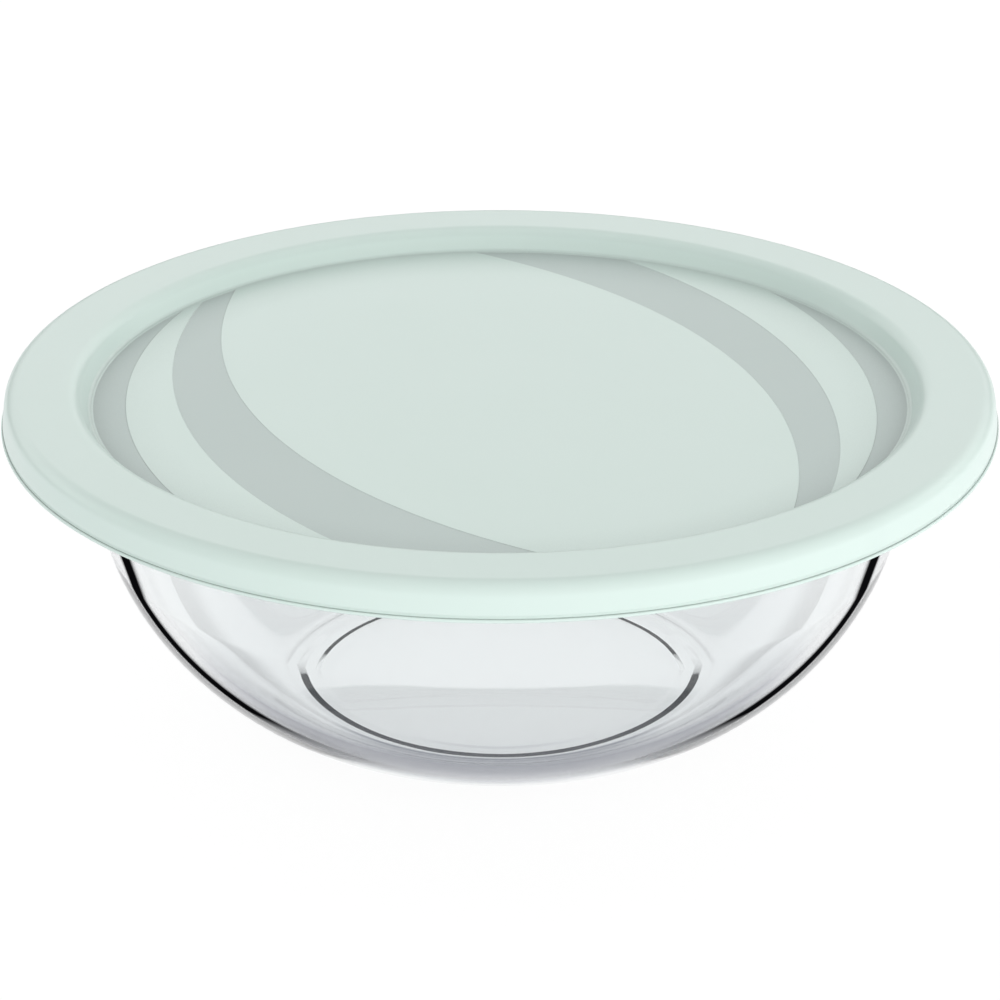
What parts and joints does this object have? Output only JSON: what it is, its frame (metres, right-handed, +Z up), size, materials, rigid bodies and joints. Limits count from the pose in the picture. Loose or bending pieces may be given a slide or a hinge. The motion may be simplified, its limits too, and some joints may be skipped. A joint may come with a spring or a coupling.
{
  "type": "glass storage container",
  "caption": "Round shallow glass bowl with a rolled-out rim and a press-on moulded lid that has a recessed round top for stacking.",
  "frame": {"origin": "middle of the foot, on the surface that the bowl stands on", "axes": "+Z up along the bowl's axis; +X to the right and +Y to the back as the lid's pattern is seen from the front"},
  "size_m": [0.27, 0.27, 0.0926],
  "materials": {
    "glass": "clear pressed glass, fire polished",
    "lid_plastic": "satin moulded polyethylene, pale sage green"
  },
  "bodies": {
    "bowl": {"glass_bowl": "glass"},
    "lid": {"lid": "lid_plastic"}
  },
  "joints": [
    {"name": "lid_lift", "type": "slide", "parent": "bowl", "child": "lid", "axis": [0, 0, 1], "range_m": [0, 0.06]}
  ]
}
